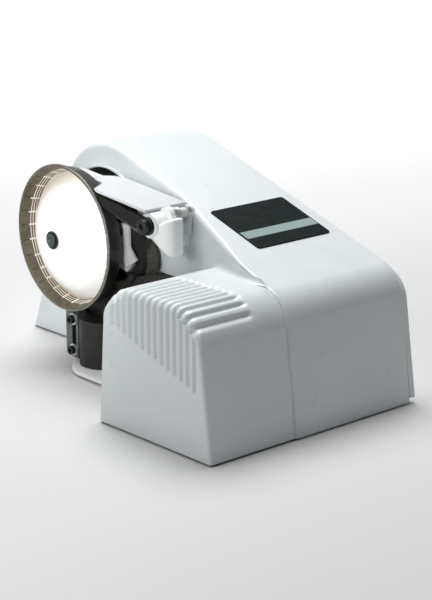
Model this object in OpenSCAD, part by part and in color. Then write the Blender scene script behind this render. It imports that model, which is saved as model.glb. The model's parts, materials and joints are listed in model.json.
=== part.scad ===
// Bench machine with an overhung dished wheel, a tilting work table and a belt drive under a hood.
// Millimetres. +X is the operator's right, +Y is away from the operator, +Z is up.
// The origin is the bottom centre of the whole machine.

/* [Housing] */
// Overall width, from the ribbed cover's left face to the end cover
total_w = 269.6; // [269:0.1:271]
// Overall depth at the foot of the hood
total_d = 463.2; // [462:0.1:465]
// Height of the hood's ridge
ridge_z = 229.1; // [228:0.1:231]
// Radius of the ridge
ridge_r = 78; // [77:0.5:79]
// Radius where the front wall turns into the slope
brow_r = 36; // [35:0.5:36.5]
// Thickness of the hood's wall
hood_wall = 3; // [2.5:0.1:3.2]
// Thickness of the ribbed cover's wall
cover_wall = 4; // [3.6:0.1:4.2]
// Height of the ribbed cover
cover_top = 143; // [142:0.5:144]

/* [Ribs] */
// Number of grooves in the ribbed cover
groove_count = 14; // [10:1:14]
// Distance between grooves
groove_pitch = 9.05; // [8.8:0.05:9.2]
// Width of one groove
groove_w = 4.2; // [3.5:0.1:4.6]
// Depth of one groove
groove_depth = 2.2; // [1.5:0.1:2.4]

/* [Wheel] */
// Outer radius of the wheel
wheel_r = 77; // [75.5:0.5:77.5]
// Axial depth of the wheel's conical wall
wheel_deep = 22; // [21:0.5:22]
// Radius of the round face at its foot
face_r = 67.5; // [66:0.5:67.5]
// How far the face rises
face_rise = 30; // [28:0.5:31]
// Number of bronze segments
segment_count = 28; // [20:1:32]
// Width of the gap between segments, in degrees
segment_gap = 1.6; // [1:0.1:2.5]

/* [Spindle and motor] */
// Radius of the spindle
spindle_r = 8.5; // [8:0.1:8.6]
// Outer radius of the spindle's bearings
bearing_r = 20; // [19:0.5:20]
// Radius of the motor's shell
motor_r = 38; // [36:0.5:38.5]
// Radius of the spindle pulley
big_pulley_r = 30; // [26:0.5:31]
// Radius of the motor pulley
small_pulley_r = 15; // [13:0.5:16]

/* [Table] */
// Width of the table plate
table_w = 53; // [50:0.5:54]
// Thickness of the table plate
table_t = 3; // [2.5:0.1:3]
// Slope of the table plate, in degrees
table_slope = 5.7; // [5:0.1:6]

/* [Hidden] */
$fn = 64;
fit = 0.03;
arc_step = 4;

x0 = -total_w / 2;
x1 = total_w / 2;
y0 = -total_d / 2;
y1 = total_d / 2;
foot_z = 2;
hood_x1 = 128;
wall_x = 6.6;
brow = [-181.5, 104.71];
cover_brow = [-176, 101];
ridge = [93.2, ridge_z - ridge_r];
slope_k = 0.33;
slope_a = atan(slope_k);

port = [94.3, 146];
port_r = 58.2;

wheel_x = -53.4;
axis = [93.4, 138.2];
back_x = wheel_x + wheel_deep;
cap_r = (face_r * face_r + face_rise * face_rise) / (2 * face_rise);
face_x = back_x - 4.2;
wheel_neck = 5.5;
housing_x = -30;
lever_at = [33.5, 151.5];

drive = [30.8, 122];
motor_x0 = 24;
motor_x1 = 84;
belt_x = 96;

pivot = [-38.2, 174.5];
rod = [-46.2, 183.5];
table_x0 = -50.4;
table_z = 194.5;

base_t = 4;
base_z = 3;
base_top = base_z + base_t;

// ---- helpers ----

// Unit normal of the outer tangent from circle a, radius ra, to circle b, radius rb.
function tangent_n(a, ra, b, rb) = let (d = (b - a) / norm(b - a), k = (ra - rb) / norm(b - a))
    k * d + sqrt(1 - k * k) * [-d[1], d[0]];

// Turns a drawing of y and z into a bar along x, from xa to xb.
module along_x(xa, xb) {
    translate([xa, 0, 0]) rotate([90, 0, 90]) linear_extrude(xb - xa) children();
}

// A cylinder along x around the point p of y and z.
module rod_x(p, r, xa, xb) {
    translate([xa, p[0], p[1]]) rotate([0, 90, 0]) cylinder(r = r, h = xb - xa);
}

// A tube along x.
module tube_x(p, r, bore, xa, xb) {
    difference() {
        rod_x(p, r, xa, xb);
        rod_x(p, bore, xa - 1, xb + 1);
    }
}

// Turns a drawing of radius and x into a body of revolution around the x axis through p.
module turned(p) {
    translate([0, p[0], p[1]]) rotate([0, 90, 0]) rotate_extrude() children();
}

// The corner points of circle i of cs, each [centre, radius], where the tangents meet its arc.
function corner(cs, i) = let (n = len(cs), p = cs[(i + n - 1) % n], c = cs[i], q = cs[(i + 1) % n],
    u = tangent_n(p[0], p[1], c[0], c[1]), v = tangent_n(c[0], c[1], q[0], q[1]),
    a = atan2(u[1], u[0]), b = atan2(v[1], v[0]), turn = b > a + 0.01 ? a - b + 360 : a - b,
    steps = c[1] == 0 ? 0 : max(1, ceil(turn / arc_step)))
    [for (k = [0:steps]) c[0] + c[1] * [cos(a - (steps == 0 ? 0 : turn * k / steps)),
        sin(a - (steps == 0 ? 0 : turn * k / steps))]];

// The outline drawn round a clockwise list of circles, each [centre, radius].
function outline(cs) = [for (i = [0:len(cs) - 1]) for (p = corner(cs, i)) p];

module hood_profile(inset, z) {
    polygon(outline([[[y0 + inset, z], 0], [brow, brow_r - inset], [ridge, ridge_r - inset],
        [[y1 - inset, z], 0]]));
}

// The hood seen from above: wide at the front, stepped in behind the ribbed cover.
module hood_plan(inset, right) {
    polygon([[-31.1 + inset, y0 - 9], [-31.1 + inset, -191.4], [-25.9 + inset, -148.2],
        [wall_x + inset, -31.2], [wall_x + inset, y1 + 9], [right, y1 + 9], [right, y0 - 9]]);
}

module hood_solid(inset, right, z) {
    intersection() {
        along_x(-60, right) hood_profile(inset, z);
        translate([0, 0, -20]) linear_extrude(300) hood_plan(inset, right);
    }
}

module cover_profile(inset, z) {
    polygon(outline([[[y0 + inset, z], 0], [cover_brow, 42 - inset],
        [[-112.2, cover_top - 38], 38 - inset], [[-66.7 - inset, z], 0]]));
}

// The top of the ribbed cover's shell at the depth y.
function cover_z(y) = y > -112.2 ? cover_top - 38 + sqrt(max(0, 38 * 38 - pow(y + 112.2, 2)))
    : y < cover_brow[0] ? cover_brow[1] + sqrt(max(0, 42 * 42 - pow(y - cover_brow[0], 2))) : cover_top;

// One groove: down the left face, round the edge and along the top.
module groove(i) {
    y = -90 - groove_pitch * i;
    low = 104.4 - 2.94 * i;
    top = cover_z(y);
    translate([0, y + groove_w / 2, 0]) rotate([90, 0, 0]) linear_extrude(groove_w) difference() {
        translate([x0 - 5, low]) square([x0 * -1 - 67 + 5, top + 5 - low]);
        translate([x0 + groove_depth, low - 5]) square([200, top - groove_depth - low + 5 - 8]);
        translate([x0 + groove_depth + 8, low - 5]) square([200, top - groove_depth - low + 5]);
        translate([x0 + groove_depth + 8, top - groove_depth - 8]) circle(r = 8);
    }
}

// The outline of the drive housing, in y and z.
module housing_outline(grow) {
    polygon(outline([[drive, 27 + grow], [[19, 147], 16 + grow], [axis, 45 + grow]]));
}

// Space kept clear of the wheel.
module wheel_space(gap) {
    turned(axis) polygon([[0, wheel_x - 20], [wheel_r + gap, wheel_x - 20],
        [wheel_r + gap, wheel_x + 3 + gap], [wheel_r - wheel_neck + gap, back_x + gap],
        [0, back_x + gap]]);
}

// A plane tilted like the table: its origin is on the table's top face at y = 0.
module on_table() {
    translate([0, 0, table_z]) rotate([table_slope, 0, 0]) children();
}

// A closed coil of round wire around the x axis.
module coil(r, wire, pitch, turns) {
    n = 18;
    m = 8;
    rows = n * turns;
    pts = [for (i = [0:rows]) for (j = [0:m - 1]) let (a = 360 * i / n, b = 360 * j / m)
        [pitch * i / n + wire * sin(b), (r + wire * cos(b)) * cos(a), (r + wire * cos(b)) * sin(a)]];
    sides = [for (i = [0:rows - 1]) for (j = [0:m - 1])
        [i * m + j, i * m + (j + 1) % m, (i + 1) * m + (j + 1) % m, (i + 1) * m + j]];
    ends = [[for (j = [m - 1:-1:0]) j], [for (j = [0:m - 1]) rows * m + j]];
    polyhedron(points = pts, faces = concat(sides, ends));
}

// ---- housing ----

module hood() {
    color("whitesmoke") difference() {
        hood_solid(0, hood_x1, foot_z);
        hood_solid(hood_wall, hood_x1 - 3, -10);
        along_x(hood_x1 - 10, hood_x1 + 5) hood_profile(14, -10);
        rod_x(port, port_r, -10, 30);
        rod_x(drive, 20.5, -10, 30);
        translate([-60, -212, -5]) cube([78, 327, 13]);
        hinge_screws_at() cylinder(r = 2.6, h = 60, center = true);
        cover_holes() cylinder(r = 1.9, h = 20, center = true);
    }
}

// The places of the end cover's screws.
module cover_holes() {
    for (p = [[-215.2, 45], [-150, 141.1], [60, 210.2], [150, 190], [208, 40]])
        translate([hood_x1, p[0], p[1]]) rotate([0, 90, 0]) children();
}

module right_end_cover() {
    color("gainsboro") difference() {
        along_x(hood_x1, x1) translate([0, -6]) hood_profile(1, foot_z + 10);
        along_x(hood_x1 - 1, x1 - 3) hood_profile(16, foot_z + 12);
        for (i = [0:8]) translate([hood_x1 - 5, 10 + 11 * i, 45]) cube([20, 5, 60]);
        translate([hood_x1 - 5, -135, 50]) cube([20, 20, 30]);
        translate([hood_x1 - 5, 152, 26]) cube([20, 30, 24]);
        cover_holes() cylinder(r = 2.2, h = 40, center = true);
        cover_holes() translate([0, 0, x1 - hood_x1 - 3.4]) cylinder(r = 4.2, h = 10);
    }
}

module ribbed_front_cover() {
    color("whitesmoke") difference() {
        intersection() {
            along_x(x0, 20) cover_profile(0, foot_z);
            translate([0, 0, -20]) linear_extrude(300) cover_plan(0);
        }
        intersection() {
            along_x(x0 - 5, 30) cover_profile(cover_wall, -10);
            translate([0, 0, -20]) linear_extrude(300) cover_plan(cover_wall);
        }
        for (i = [0:groove_count - 1]) groove(i);
    }
}

module cover_plan(inset) {
    polygon([[x0 + inset, y0 - 9], [x0 + inset, -40], [3.86 + 3 * inset, -40],
        [-26.2 + 3 * inset, -148.2], [-31.4 + 3 * inset, -191.4], [-31.4 + 3 * inset, y0 - 9]]);
}

module base_plate() {
    color("lightgray") difference() {
        translate([0, 0, base_z]) linear_extrude(base_t) union() {
            translate([11, -224]) square([112, 443]);
            translate([-125, -210]) square([140, 126]);
            translate([-24.4, 46]) circle(r = 44.6);
            translate([-69, -20]) square([85, 66]);
            translate([-24.4, 46]) square([40, 44.6]);
        }
        feet_at() cylinder(r = 2.6, h = 60, center = true);
        bolts_at() cylinder(r = 3.2, h = 60, center = true);
    }
}

module feet_at() {
    for (p = [[-110, -195], [-110, -100], [108, -205], [108, 205], [28, 205], [-50, 0]])
        translate([p[0], p[1], 0]) children();
}

module rubber_feet() {
    color("dimgray") feet_at() difference() {
        cylinder(r = 11, h = base_z);
        translate([0, 0, -1]) cylinder(r = 2.6, h = 9);
        translate([0, 0, -1]) cylinder(r = 5.2, h = 2.2);
    }
}

module foot_screws() {
    color("silver") feet_at() union() {
        translate([0, 0, 0.2]) cylinder(r = 4.8, h = 1);
        translate([0, 0, 1]) cylinder(r = 2.5, h = base_top + 1);
    }
}

module port_ring() {
    color("white") difference() {
        tube_x(port, port_r + 4, port_r, wall_x - 4, wall_x);
        rod_x(drive, 29.4, wall_x - 10, wall_x + 2);
    }
}

module name_plate() {
    color([0.08, 0.13, 0.12]) translate([62.4, -96.5, 0])
        translate([0, 0, 202.53 - 96.5 * slope_k]) rotate([slope_a, 0, 0])
        linear_extrude(1.2) difference() {
            square([98, 75], center = true);
            for (sx = [-1, 1]) for (sy = [-1, 1]) translate([sx * 49, sy * 37.5]) difference() {
                square([6, 6], center = true);
                translate([-3 * sx, -3 * sy]) circle(r = 3);
            }
        }
}

module cover_screws() {
    color("silver") cover_holes() union() {
        translate([0, 0, x1 - hood_x1 - 3.2]) cylinder(r = 4, h = 2.4);
        translate([0, 0, -6]) cylinder(r = 1.85, h = x1 - hood_x1 + 3.5);
    }
}

module switch_bezel() {
    color("black") translate([0, -125, 65]) difference() {
        translate([hood_x1 - 6, -9.8, -14.8]) cube([11.8, 19.6, 29.6]);
        translate([hood_x1 - 3, -7, -10.6]) cube([20, 14, 21.2]);
        translate([hood_x1 - 1, 0, 0]) rotate([90, 0, 0]) cylinder(r = 1.53, h = 17.4, center = true);
    }
}

module rocker_switch() {
    color("darkred") translate([0, -125, 65]) difference() {
        union() {
            translate([hood_x1 - 1.4, -6.5, -9]) cube([7.2, 13, 18]);
            translate([hood_x1 - 1, 0, 0]) rotate([90, 0, 0]) cylinder(r = 1.5, h = 17, center = true);
        }
        translate([hood_x1 + 18.8, 0, 0]) rotate([90, 0, 0]) cylinder(r = 14, h = 40, center = true);
    }
}

module power_inlet() {
    color("black") translate([0, 167, 38]) difference() {
        translate([hood_x1 - 16, -14.8, -11.8]) cube([22, 29.6, 23.6]);
        translate([hood_x1 - 12, -11, -7.5]) cube([40, 22, 15]);
    }
}

module inlet_pins() {
    color("silver") translate([hood_x1 - 12, 167, 38]) for (p = [[-7, -2], [0, 2], [7, -2]])
        translate([0, p[0] - 0.9, p[1] - 2]) cube([9, 1.8, 4]);
}

// ---- pedestal and drive housing ----

module bolts_at() {
    for (p = [[-42, 56.8], [-14, 44], [-14, 72]]) translate([p[0], p[1], 0]) children();
}

module pedestal() {
    color([0.17, 0.22, 0.21]) difference() {
        union() {
            translate([-29.4, 56.8, base_top]) cylinder(r = 26, h = 50, $fn = 96);
            translate([-41.4, 70, base_top]) cube([30, 27, 50]);
            translate([housing_x, 36, 56]) cube([2 - housing_x, 52, 60]);
            along_x(-26, -16) polygon([[-49, 96], [-49, 113], [-43, 118], [-22, 118.8], [-8, 114],
                [40, 100], [40, 60], [20, 60]]);
        }
        along_x(housing_x - 9, -14.5) housing_outline(0);
        rod_x(axis, 34, -14.6, 40);
        rod_x(drive, 29.2, -14.6, 12);
        bolts_at() cylinder(r = 3.03, h = 80, center = true);
        for (z = [17.5, 51]) rod_x([87.5, z], 3.03, -60, -24);
    }
}

module pedestal_bolts() {
    color("silver") bolts_at() translate([0, 0, 0.4]) union() {
        cylinder(r = 5, h = base_z - 0.4);
        cylinder(r = 3, h = 36);
    }
}

module slide_bracket() {
    color([0.2, 0.26, 0.25]) difference() {
        union() {
            translate([-45.4, 80.4, 18]) cube([4, 20.6, 40]);
            translate([-45.4, 80.4, 10.4]) cube([4, 13, 10]);
            rod_x([93.4, 18], 7.6, -45.4, -41.4);
        }
        for (z = [14.3, 54.2]) rod_x([87.5, z], 3.2, -60, -24);
        translate([-60, 84.3, 14.3]) cube([40, 6.4, 39.9]);
    }
}

module bracket_washers() {
    color("silver") for (z = [17.5, 51]) tube_x([87.5, z], 6.3, 3.2, -47.1, -45.45);
}

module bracket_screws() {
    color("dimgray") for (z = [17.5, 51]) difference() {
        union() {
            rod_x([87.5, z], 4.6, -51.6, -47.15);
            rod_x([87.5, z], 3, -48, -25);
        }
        along_x(-53, -49) translate([87.5, z]) circle(r = 2.6, $fn = 6);
    }
}

module drive_housing() {
    color([0.1, 0.11, 0.11]) difference() {
        union() {
            along_x(housing_x, -14.5) housing_outline(0);
            rod_x(axis, 34, -15, 16);
            rod_x(axis, 24.5, 15, 52);
            rod_x(drive, 19.4, -15, 20);
        }
        rod_x(axis, bearing_r + 0.02, -40, -16.4);
        rod_x(axis, 14, -40, 60);
        rod_x(axis, bearing_r + 0.02, 39.4, 60);
        rod_x(drive, 21, -40, -16);
        rod_x(drive, 11, -40, 30);
        translate([-40, -8, 130]) cube([19.5, 51, 37]);
        translate([-40, -20, 112]) cube([19.5, 60, 30]);
        rod_x(lever_at, 3.02, -22, -16.5);
    }
}

module flange_ring() {
    color([0.25, 0.27, 0.22]) difference() {
        tube_x(drive, 28.5, 19.6, -14.4, -1);
        for (i = [0:35]) translate([0, drive[0], drive[1]]) rotate([i * 10, 0, 0])
            translate([-16, 0, 28.6]) rotate([0, 90, 0]) cylinder(r = 0.9, h = 9, $fn = 16);
    }
}

module clamp_lever() {
    color("silver") difference() {
        along_x(-25.5, -22.5) polygon([[42, 161.6], [18.5, 161.6], [18.5, 138.1], [7.2, 126.1],
            [22.8, 116.6], [42, 129]]);
        rod_x(lever_at, 3.03, -40, -10);
    }
}

module lever_screw() {
    color("dimgray") union() {
        rod_x(lever_at, 5, -27.5, -25.55);
        rod_x(lever_at, 3, -26, -16.6);
    }
}

// ---- wheel and spindle ----

module spindle_shaft() {
    color("silver") difference() {
        union() {
            rod_x(axis, spindle_r, -58, 104);
            rod_x(axis, 12, -16.2, 39.2);
        }
        rod_x(axis, 4.02, -60, -40);
    }
}

module bearing(p, r, bore, xa, w) {
    tube_x(p, r, r - 3.5, xa, xa + w);
    tube_x(p, bore + 3, bore, xa, xa + w);
    tube_x(p, r - 3.7, bore + 3.2, xa + 1, xa + w - 1);
}

module front_bearing() {
    color("lightsteelblue") bearing(axis, bearing_r, spindle_r + fit, -28.6, 12);
}

module rear_bearing() {
    color("lightsteelblue") bearing(axis, bearing_r, spindle_r + fit, 39.6, 12);
}

module spindle_pulley() {
    color("gray") difference() {
        union() {
            rod_x(axis, big_pulley_r, belt_x - 5.4, belt_x + 5.4);
            rod_x(axis, big_pulley_r + 3, belt_x - 7, belt_x - 5.4);
            rod_x(axis, big_pulley_r + 3, belt_x + 5.4, belt_x + 7);
            rod_x(axis, 14, belt_x - 16, belt_x + 7);
        }
        rod_x(axis, spindle_r + fit, 0, 200);
        for (i = [0:4]) translate([0, axis[0], axis[1]]) rotate([72 * i, 0, 0])
            translate([belt_x - 10, 0, 21]) rotate([0, 90, 0]) cylinder(r = 4.5, h = 30);
    }
}

module wheel_drum() {
    color([0.12, 0.12, 0.13]) turned(axis) polygon([[spindle_r + fit, -57], [12, -57],
        [12, back_x - 2.2], [wheel_r - 7, back_x - 2.2], [wheel_r - 1, wheel_x],
        [wheel_r, wheel_x], [wheel_r, wheel_x + 3], [wheel_r - wheel_neck, back_x],
        [spindle_r + fit, back_x]]);
}

// The bronze lining of the conical wall, cut into segments that meet at their inner edge.
module rim_segments() {
    ra = wheel_r - 7.05;
    rb = wheel_r - 1.05;
    xa = back_x - 2.25;
    xb = wheel_x;
    color("peru") difference() {
        turned(axis) polygon([[ra - 2, xa], [ra, xa], [rb, xb], [rb - 1.9, xb]]);
        for (i = [0:segment_count - 1]) translate([0, axis[0], axis[1]])
            rotate([360 / segment_count * i, 0, 0]) translate([xb - 1, -0.6, 60])
            cube([5.8, 1.2, 30]);
    }
}

module wheel_face() {
    color("ivory") turned(axis) difference() {
        intersection() {
            translate([0, face_x - face_rise + cap_r]) circle(r = cap_r, $fn = 180);
            translate([4.6, face_x - 60]) square([face_r - 4.6, 60 + 1.7]);
        }
        translate([0, face_x - face_rise + cap_r + 2]) circle(r = cap_r, $fn = 180);
    }
}

module hub_washer() {
    color([0.2, 0.25, 0.24]) tube_x(axis, 9.4, 4.3, face_x - face_rise - 1.6, face_x - face_rise - 0.1);
}

module hub_screw() {
    color([0.2, 0.25, 0.24]) difference() {
        union() {
            rod_x(axis, 6.6, face_x - face_rise - 3.8, face_x - face_rise - 1.65);
            rod_x(axis, 4, face_x - face_rise - 2, -44);
        }
        along_x(face_x - face_rise - 8, face_x - face_rise - 2.2) translate(axis) circle(r = 3.2, $fn = 6);
    }
}

// ---- motor and belt ----

module motor_shell() {
    color("steelblue") difference() {
        tube_x(drive, motor_r, motor_r - 4, motor_x0 + 8, motor_x1 - 8);
        for (i = [0:23]) translate([0, drive[0], drive[1]]) rotate([15 * i, 0, 0])
            translate([motor_x0, 0, motor_r]) rotate([0, 90, 0]) cylinder(r = 1.6, h = 60, $fn = 16);
    }
}

module motor_cap(xa, xb) {
    difference() {
        rod_x(drive, motor_r, xa, xb);
        rod_x(drive, 11.02, xa - 1, xb + 1);
        for (i = [0:5]) translate([0, drive[0], drive[1]]) rotate([60 * i, 0, 0])
            translate([xa - 1, 0, 26]) rotate([0, 90, 0]) cylinder(r = 5, h = 30);
    }
}

module motor_left_cap() {
    color("darkgray") motor_cap(motor_x0, motor_x0 + 8);
}

module motor_right_cap() {
    color("darkgray") motor_cap(motor_x1 - 8, motor_x1);
}

module motor_bearings() {
    color("lightsteelblue") for (x = [motor_x0 + 0.5, motor_x1 - 7.5]) bearing(drive, 11, 5 + fit, x, 7);
}

module motor_rotor() {
    color("sienna") union() {
        rod_x(drive, 5, -21.8, belt_x + 8);
        rod_x(drive, 27, motor_x0 + 12, motor_x1 - 20);
    }
}

module motor_fan() {
    color("dimgray") difference() {
        union() {
            rod_x(drive, 8, motor_x1 - 19, motor_x1 - 11);
            for (i = [0:7]) translate([motor_x1 - 18.5, drive[0], drive[1]]) rotate([45 * i, 0, 0])
                translate([0, -0.8, 6]) cube([7, 1.6, 24]);
        }
        rod_x(drive, 5 + fit, 0, 200);
    }
}

module motor_pulley() {
    color("gray") difference() {
        union() {
            rod_x(drive, small_pulley_r, belt_x - 5.4, belt_x + 5.4);
            rod_x(drive, small_pulley_r + 3, belt_x - 7, belt_x - 5.4);
            rod_x(drive, small_pulley_r + 3, belt_x + 5.4, belt_x + 7);
        }
        rod_x(drive, 5 + fit, 0, 200);
    }
}

module drive_nut() {
    color("silver") difference() {
        along_x(-21.6, -16.8) translate(drive) rotate(12) circle(r = 13, $fn = 6);
        rod_x(drive, 5 + fit, -50, 0);
    }
}

module motor_bracket() {
    color("gray") difference() {
        union() {
            translate([motor_x0 + 12, drive[0] - 30, base_top]) cube([36, 60, 5]);
            translate([motor_x0 + 12, drive[0] - 22, base_top]) cube([36, 44, 90]);
        }
        rod_x(drive, motor_r + 0.02, 0, 200);
        translate([0, drive[0] - 17, base_top + 5]) cube([200, 34, 68]);
    }
}

// The belt runs round both pulleys, with its two straight runs tangent to them.
module drive_belt() {
    ra = small_pulley_r + 0.3;
    rb = big_pulley_r + 0.3;
    color("black") difference() {
        along_x(belt_x - 5, belt_x + 5) belt_loop(ra + 2.2, rb + 2.2);
        along_x(belt_x - 6, belt_x + 6) belt_loop(ra, rb);
    }
}

module belt_loop(ra, rb) {
    polygon(outline([[drive, ra], [axis, rb]]));
}

// ---- table, arm and hinge ----

module hinge_bracket() {
    color("white") difference() {
        union() {
            rod_x(pivot, 12.5, -46.2, -31);
            along_x(-36, -22) polygon([[-61, 174], [-29, 171], [-25, 161], [-57, 145.5], [-61, 147.5]]);
            along_x(-26, 12) polygon([[-42, 172], [-29, 171], [-27, 160], [-28, 148], [-42, 148]]);
            along_x(-31, -26) translate(rod) circle(r = 9);
            along_x(-31, -26) translate([-56, 160]) square([20, 24]);
            along_x(-2.6, 1.4) translate(rod) circle(r = 6.8);
            along_x(-2.6, 1.4) translate([-48, 160]) square([12, 22]);
        }
        rod_x(pivot, 4.03, -60, 0);
        rod_x(rod, 5.02, -30.6, 10);
        hood_solid(-0.02, hood_x1, -10);
        hinge_screws_at() translate([0, 0, -14.5]) cylinder(r = 2.55, h = 60);
    }
}

module hinge_screws_at() {
    for (p = [[-35.5, 153], [-35.5, 165]]) translate([-6, p[0], p[1]]) rotate([0, 90, 0]) children();
}

// Driven from inside the hood.
module hinge_screws() {
    color("silver") hinge_screws_at() union() {
        translate([0, 0, -14]) cylinder(r = 2.5, h = 31);
        translate([0, 0, 15.8]) cylinder(r = 4.6, h = 3);
    }
}

module pivot_screw() {
    color([0.22, 0.26, 0.25]) difference() {
        union() {
            rod_x(pivot, 8, -56, -51.8);
            rod_x(pivot, 4, -52, -26);
        }
        along_x(-58, -53.4) translate(pivot) circle(r = 3.4, $fn = 6);
    }
}

module cross_rod() {
    color("silver") rod_x(rod, 5, -30.5, 1.2);
}

module torsion_spring() {
    color("silver") translate([-19.8, rod[0], rod[1]]) coil(6.3, 0.8, 2.2, 2);
}

module arm_shape(y_from, drop) {
    polygon([[y_from, 182.4 - drop], [46, 195 - drop], [46, 187 - drop], [y_from, 166.5 - drop]]);
}

module support_arm() {
    color([0.15, 0.16, 0.15]) difference() {
        union() {
            along_x(-51.4, -46.6) arm_shape(-37, 0);
            rod_x(pivot, 9, -51.4, -46.6);
        }
        rod_x(pivot, 4.05, -60, 0);
        wheel_space(1.6);
    }
}

module arm_liner() {
    color([0.3, 0.31, 0.28]) difference() {
        along_x(-46.55, -43.9) arm_shape(-23, 2.4);
        wheel_space(1.6);
    }
}

module table_plate() {
    color("white") difference() {
        on_table() translate([table_x0 + table_w / 2, 0, -table_t]) linear_extrude(table_t) union() {
            translate([-table_w / 2, -38]) square([table_w, 87]);
            translate([0, 49]) circle(r = table_w / 2, $fn = 128);
        }
        wheel_space(1.4);
    }
}

module plate_clips() {
    color("lightgray") difference() {
        for (x = [-25.4, -7]) union() {
            rod_x(rod, 7.4, x, x + 4);
            on_table() translate([x, -40.8, -table_t - 3.2]) cube([4, 21, 3.2]);
        }
        rod_x(rod, 5.06, -60, 60);
    }
}

module rest_bar() {
    color("silver") on_table() translate([-25, 52, -table_t - 3]) cube([17, 63, 3]);
}

hood();
right_end_cover();
ribbed_front_cover();
base_plate();
rubber_feet();
foot_screws();
port_ring();
name_plate();
pedestal();
pedestal_bolts();
slide_bracket();
bracket_screws();
bracket_washers();
drive_housing();
flange_ring();
clamp_lever();
lever_screw();
spindle_shaft();
front_bearing();
rear_bearing();
spindle_pulley();
wheel_drum();
rim_segments();
wheel_face();
hub_washer();
hub_screw();
motor_shell();
motor_left_cap();
motor_right_cap();
motor_bearings();
motor_rotor();
motor_fan();
motor_pulley();
drive_nut();
motor_bracket();
drive_belt();
hinge_bracket();
hinge_screws();
pivot_screw();
cross_rod();
torsion_spring();
support_arm();
arm_liner();
table_plate();
plate_clips();
rest_bar();
switch_bezel();
rocker_switch();
power_inlet();
inlet_pins();
cover_screws();
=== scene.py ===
"""Looks for the lapidary bench machine: materials, rounded housings, wheel, camera and light.

Everything is in metres in the CAD frame: +X to the operator's right, +Y away, +Z up.
"""
import json
import math

import bmesh
import bpy
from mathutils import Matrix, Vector, geometry


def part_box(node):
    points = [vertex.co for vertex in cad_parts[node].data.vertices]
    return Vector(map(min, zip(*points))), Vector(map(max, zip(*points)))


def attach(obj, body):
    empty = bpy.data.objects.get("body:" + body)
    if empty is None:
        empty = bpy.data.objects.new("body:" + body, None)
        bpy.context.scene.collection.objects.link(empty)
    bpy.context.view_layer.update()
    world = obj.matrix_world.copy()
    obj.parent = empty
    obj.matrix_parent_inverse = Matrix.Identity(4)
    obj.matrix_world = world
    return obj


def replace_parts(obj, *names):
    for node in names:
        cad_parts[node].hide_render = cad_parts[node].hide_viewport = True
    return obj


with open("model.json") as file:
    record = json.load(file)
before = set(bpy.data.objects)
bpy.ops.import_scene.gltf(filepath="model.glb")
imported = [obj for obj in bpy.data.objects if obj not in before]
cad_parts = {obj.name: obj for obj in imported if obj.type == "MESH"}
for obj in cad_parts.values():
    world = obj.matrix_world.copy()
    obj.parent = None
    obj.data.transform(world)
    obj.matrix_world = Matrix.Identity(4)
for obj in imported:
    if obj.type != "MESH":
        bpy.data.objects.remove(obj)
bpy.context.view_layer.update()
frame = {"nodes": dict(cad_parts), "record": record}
NODES = frame["nodes"]
MM = 0.001
SHARP_DEG = 32
FLAT_DEG = 0.4
WELD_DISTANCE = 1e-6


# ---- shader helpers ----

class Graph:
    """A material's node tree, with short calls to add nodes to it."""

    def __init__(self, name):
        self.mat = bpy.data.materials.new(name)
        self.mat.use_nodes = True
        self.tree = self.mat.node_tree
        self.bsdf = self.tree.nodes["Principled BSDF"]
        self.coord = self.tree.nodes.new("ShaderNodeTexCoord").outputs["Object"]

    def put(self, socket, value):
        """Links value to socket if it is a socket too, or sets it if it is a number or colour."""
        if isinstance(value, bpy.types.NodeSocket):
            self.tree.links.new(value, socket)
        elif isinstance(value, (tuple, list)) and len(value) == 3 and socket.type == "RGBA":
            socket.default_value = (*value, 1)
        else:
            socket.default_value = value

    def set(self, **values):
        """Sets the shader's own sockets: Base_Color means the socket Base Color."""
        for name, value in values.items():
            self.put(self.bsdf.inputs[name.replace("_", " ")], value)
        return self

    def math(self, op, a, b=0.0):
        """The result of one Math node."""
        n = self.tree.nodes.new("ShaderNodeMath")
        n.operation = op
        self.put(n.inputs[0], a)
        self.put(n.inputs[1], b)
        return n.outputs[0]

    def noise(self, scale, detail, rough=0.55, stretch=(1, 1, 1)):
        """Noise from 0 to 1 whose features are about 1 / scale metres across."""
        m = self.tree.nodes.new("ShaderNodeMapping")
        m.inputs["Scale"].default_value = stretch
        self.put(m.inputs["Vector"], self.coord)
        n = self.tree.nodes.new("ShaderNodeTexNoise")
        n.inputs["Scale"].default_value = scale
        n.inputs["Detail"].default_value = detail
        n.inputs["Roughness"].default_value = rough
        self.put(n.inputs["Vector"], m.outputs[0])
        return n.outputs["Fac"]

    def spread(self, value, lo, hi, to_lo=0.0, to_hi=1.0):
        """Maps lo..hi smoothly to to_lo..to_hi, and clamps."""
        n = self.tree.nodes.new("ShaderNodeMapRange")
        n.interpolation_type = "SMOOTHSTEP"
        for socket, v in zip(list(n.inputs)[:5], (value, lo, hi, to_lo, to_hi)):
            self.put(socket, v)
        return n.outputs[0]

    def mix(self, factor, a, b):
        """The colour a where factor is 0, b where it is 1."""
        n = self.tree.nodes.new("ShaderNodeMix")
        n.data_type = "RGBA"
        self.put(n.inputs[0], factor)
        self.put(n.inputs[6], a)
        self.put(n.inputs[7], b)
        return n.outputs[2]

    def axis(self, letter):
        """One object coordinate, in metres."""
        n = self.tree.nodes.new("ShaderNodeSeparateXYZ")
        self.put(n.inputs[0], self.coord)
        return n.outputs[letter]

    def bump(self, height, strength, distance):
        """Adds a bump to the shader, on top of any that is there."""
        n = self.tree.nodes.new("ShaderNodeBump")
        n.inputs["Strength"].default_value = strength
        n.inputs["Distance"].default_value = distance
        self.put(n.inputs["Height"], height)
        previous = self.bsdf.inputs["Normal"].links
        if previous:
            self.put(n.inputs["Normal"], previous[0].from_socket)
        self.put(self.bsdf.inputs["Normal"], n.outputs[0])
        return self


def shade(color, factor):
    """color made darker or lighter by factor."""
    return tuple(min(1.0, c * factor) for c in color)


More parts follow.
